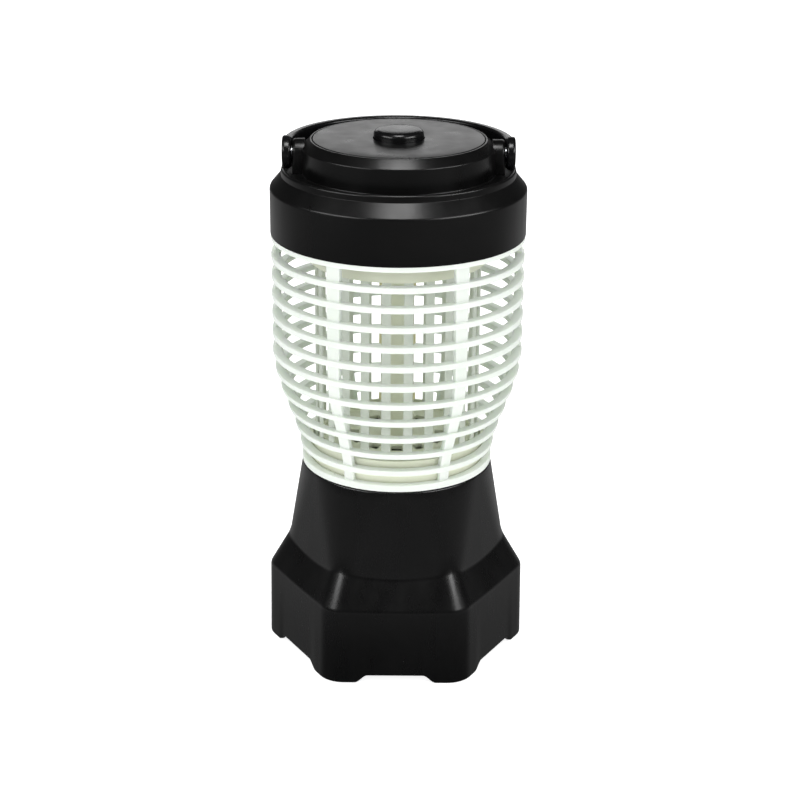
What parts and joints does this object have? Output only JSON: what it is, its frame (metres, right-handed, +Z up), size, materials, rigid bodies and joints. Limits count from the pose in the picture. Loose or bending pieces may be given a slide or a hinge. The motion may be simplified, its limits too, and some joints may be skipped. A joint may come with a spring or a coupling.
{
  "type": "electric bug zapper",
  "caption": "Lantern-shaped battery bug zapper: hexagonal black base, pale slatted cage round an electric grid and light column, round cap with button and bail handle.",
  "frame": {"origin": "on the ground under the vertical axis of the cage, between the six feet", "axes": "+Z up along the axis of the base, cage and cap; -Y is the front, where one flat face of the hexagonal base looks; +Y is the back, where the handle lies folded; +X runs through a corner of the base and the right handle pivot"},
  "size_m": [0.1324, 0.126, 0.2714],
  "materials": {
    "black_plastic": "satin moulded black ABS",
    "gloss_black": "glossy moulded black ABS",
    "mint_plastic": "pale mint-white moulded plastic with a soft sheen",
    "cream_plastic": "pale cream moulded plastic",
    "grid_steel": "plated flat steel strip",
    "zinc_steel": "zinc plated steel",
    "contact_brass": "bright stamped brass",
    "circuit_board": "green solder mask",
    "grey_plastic": "dark grey moulded plastic",
    "cell_jacket": "printed shrink sleeve, plain"
  },
  "bodies": {
    "base": {"base_shell": "black_plastic", "base_plate": "black_plastic", "base_deck": "black_plastic", "center_post": "black_plastic", "bug_tray": "cream_plastic", "base_screw_1": "zinc_steel", "base_screw_2": "zinc_steel", "base_screw_3": "zinc_steel", "deck_screw_1": "zinc_steel", "deck_screw_2": "zinc_steel", "lower_spring_1": "zinc_steel", "lower_spring_2": "zinc_steel", "upper_spring_1": "zinc_steel", "upper_spring_2": "zinc_steel", "lower_link_front": "contact_brass", "lower_link_rear": "contact_brass", "upper_link": "contact_brass", "positive_contact": "contact_brass", "negative_contact": "contact_brass", "contact_sleeve": "contact_brass", "contact_pin": "contact_brass", "contact_disc": "grey_plastic", "cell_divider": "grey_plastic", "battery_cell_1": "cell_jacket", "battery_cell_2": "cell_jacket", "battery_cell_3": "cell_jacket", "battery_cell_4": "cell_jacket"},
    "door": {"battery_door": "black_plastic"},
    "head": {"outer_cage": "mint_plastic", "grid_base": "cream_plastic", "grid_cap": "cream_plastic", "led_column": "cream_plastic", "electrode_positive": "grid_steel", "electrode_negative": "grid_steel", "led_board_1": "circuit_board", "led_board_2": "circuit_board", "led_board_3": "circuit_board", "power_socket": "grey_plastic", "cap_deck": "grey_plastic", "top_cap": "black_plastic", "lid_plate": "black_plastic", "cap_screw_1": "zinc_steel", "cap_screw_2": "zinc_steel", "cap_screw_3": "zinc_steel", "handle_pin_left": "zinc_steel", "handle_pin_right": "zinc_steel", "driver_board": "circuit_board", "transformer": "grey_plastic", "capacitor_1": "cell_jacket", "capacitor_2": "cell_jacket", "switch_body": "grey_plastic"},
    "handle": {"bail_handle": "gloss_black"},
    "button": {"power_button": "gloss_black", "switch_plunger": "grey_plastic", "button_spring": "zinc_steel"}
  },
  "joints": [
    {"name": "head_twist", "type": "hinge", "parent": "base", "child": "head", "pos_m": [0, 0, 0.1], "axis": [0, 0, 1], "range_deg": [0, 30]},
    {"name": "handle_swing", "type": "hinge", "parent": "head", "child": "handle", "pos_m": [0, 0, 0.2596], "axis": [1, 0, 0], "range_deg": [0, 180]},
    {"name": "button_press", "type": "slide", "parent": "head", "child": "button", "axis": [0, 0, -1], "range_m": [0, 0.0018], "stiffness_N_per_m": 400, "deforming": ["button_spring"]},
    {"name": "door_twist", "type": "hinge", "parent": "base", "child": "door", "pos_m": [0, 0, 0.005], "axis": [0, 0, 1], "range_deg": [0, 30]}
  ]
}
